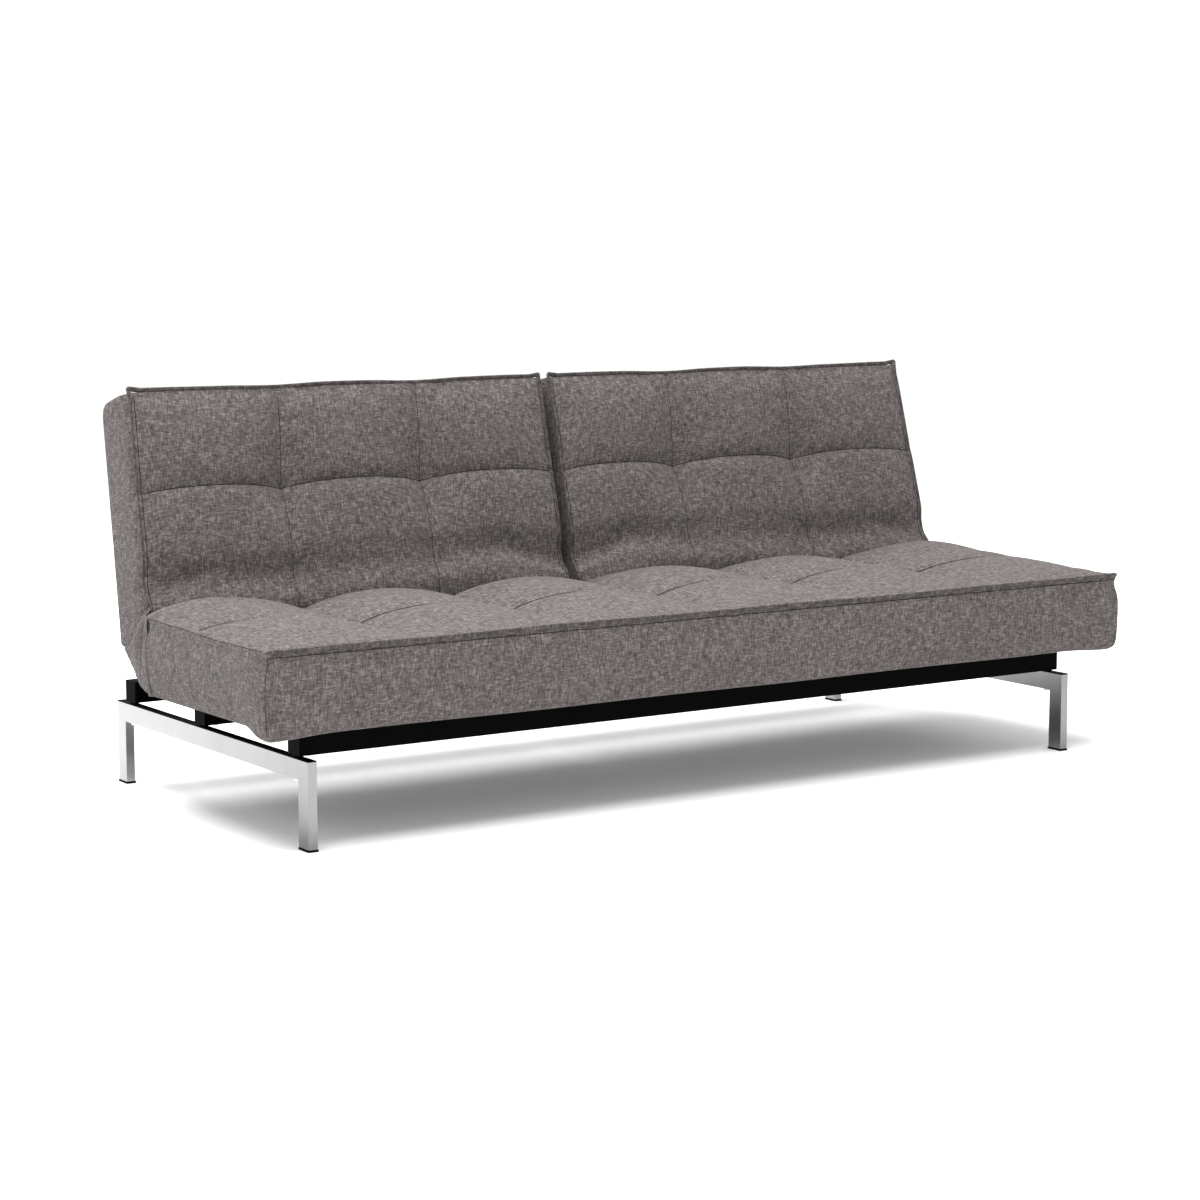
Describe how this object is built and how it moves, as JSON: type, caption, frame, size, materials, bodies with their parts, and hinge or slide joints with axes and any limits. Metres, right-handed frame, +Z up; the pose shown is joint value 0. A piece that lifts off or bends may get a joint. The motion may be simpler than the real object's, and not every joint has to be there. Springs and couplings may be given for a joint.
{
  "type": "futon sofa bed",
  "caption": "Upholstered sofa bed on two chrome leg frames and black rails, with a tufted seat and a split back that reclines to a flat bed.",
  "frame": {"origin": "on the floor under the middle of the sofa bed's footprint", "axes": "+X along the seat's width, +Y from the seat's front to the rear, +Z up"},
  "size_m": [2.1, 0.876, 0.8264],
  "materials": {
    "upholstery": "warm grey-brown melange woven cover",
    "foam": "upholstery foam and wadding",
    "dust_cloth": "thin black non-woven cloth",
    "chrome": "bright chrome plating, slightly brushed",
    "black_steel": "black powder coat",
    "zinc_steel": "zinc-plated steel",
    "black_plastic": "moulded black plastic",
    "timber": "planed pine board",
    "birch": "bent birch laminate",
    "rubber": "moulded rubber"
  },
  "bodies": {
    "frame": {"arm_bolts": "zinc_steel", "arm_nuts": "zinc_steel", "foot_front_left": "black_plastic", "foot_front_right": "black_plastic", "foot_rear_left": "black_plastic", "foot_rear_right": "black_plastic", "front_rail": "black_steel", "hinge_plate_bolts": "zinc_steel", "hinge_plates_inner": "zinc_steel", "hinge_plates_outer": "zinc_steel", "leg_bolts": "zinc_steel", "leg_frame_left": "chrome", "leg_frame_right": "chrome", "leg_frame_strips": "black_steel", "leg_nuts": "zinc_steel", "middle_rail": "black_steel", "pivot_bolts": "zinc_steel", "rail_end_caps": "black_plastic", "rail_spacers": "black_plastic", "ratchet_sector_left": "zinc_steel", "ratchet_sector_right": "zinc_steel", "rear_rail": "black_steel", "rest_pads": "rubber", "seat_arms_inner": "black_steel", "seat_arms_outer": "black_steel", "seat_cover": "upholstery", "seat_cross_boards": "timber", "seat_dust_cover": "dust_cloth", "seat_foam": "foam", "seat_front_board": "timber", "seat_rear_board": "timber", "seat_screws": "zinc_steel", "seat_side_boards": "timber", "seat_slat_holders": "black_plastic", "seat_slats": "birch"},
    "back_left": {"back_left_arm_bolts": "zinc_steel", "back_left_cover": "upholstery", "back_left_foam": "foam", "back_left_hinge_arms": "zinc_steel", "back_left_rails": "black_steel", "back_left_rear_pad": "foam", "back_left_slats": "birch", "back_left_uprights": "black_steel", "pawl_pin_left": "zinc_steel", "pawl_spring_left": "zinc_steel"},
    "back_right": {"back_right_arm_bolts": "zinc_steel", "back_right_cover": "upholstery", "back_right_foam": "foam", "back_right_hinge_arms": "zinc_steel", "back_right_rails": "black_steel", "back_right_rear_pad": "foam", "back_right_slats": "birch", "back_right_uprights": "black_steel", "pawl_pin_right": "zinc_steel", "pawl_spring_right": "zinc_steel"},
    "pawl_left": {"pawl_left": "zinc_steel"},
    "pawl_right": {"pawl_right": "zinc_steel"}
  },
  "joints": [
    {"name": "recline_left", "type": "hinge", "parent": "frame", "child": "back_left", "pos_m": [-0.51, 0.186, 0.34], "axis": [-1, 0, 0], "range_deg": [-7.62, 76.2]},
    {"name": "pawl_left_pivot", "type": "hinge", "parent": "back_left", "child": "pawl_left", "pos_m": [-0.9024, 0.23439, 0.3693], "axis": [1, 0, 0], "range_deg": [-3.5, 10], "stiffness_Nm_per_rad": 0.05},
    {"name": "recline_right", "type": "hinge", "parent": "frame", "child": "back_right", "pos_m": [0.51, 0.186, 0.34], "axis": [-1, 0, 0], "range_deg": [-7.62, 76.2]},
    {"name": "pawl_right_pivot", "type": "hinge", "parent": "back_right", "child": "pawl_right", "pos_m": [0.9024, 0.23439, 0.3693], "axis": [1, 0, 0], "range_deg": [-3.5, 10], "stiffness_Nm_per_rad": 0.05}
  ]
}
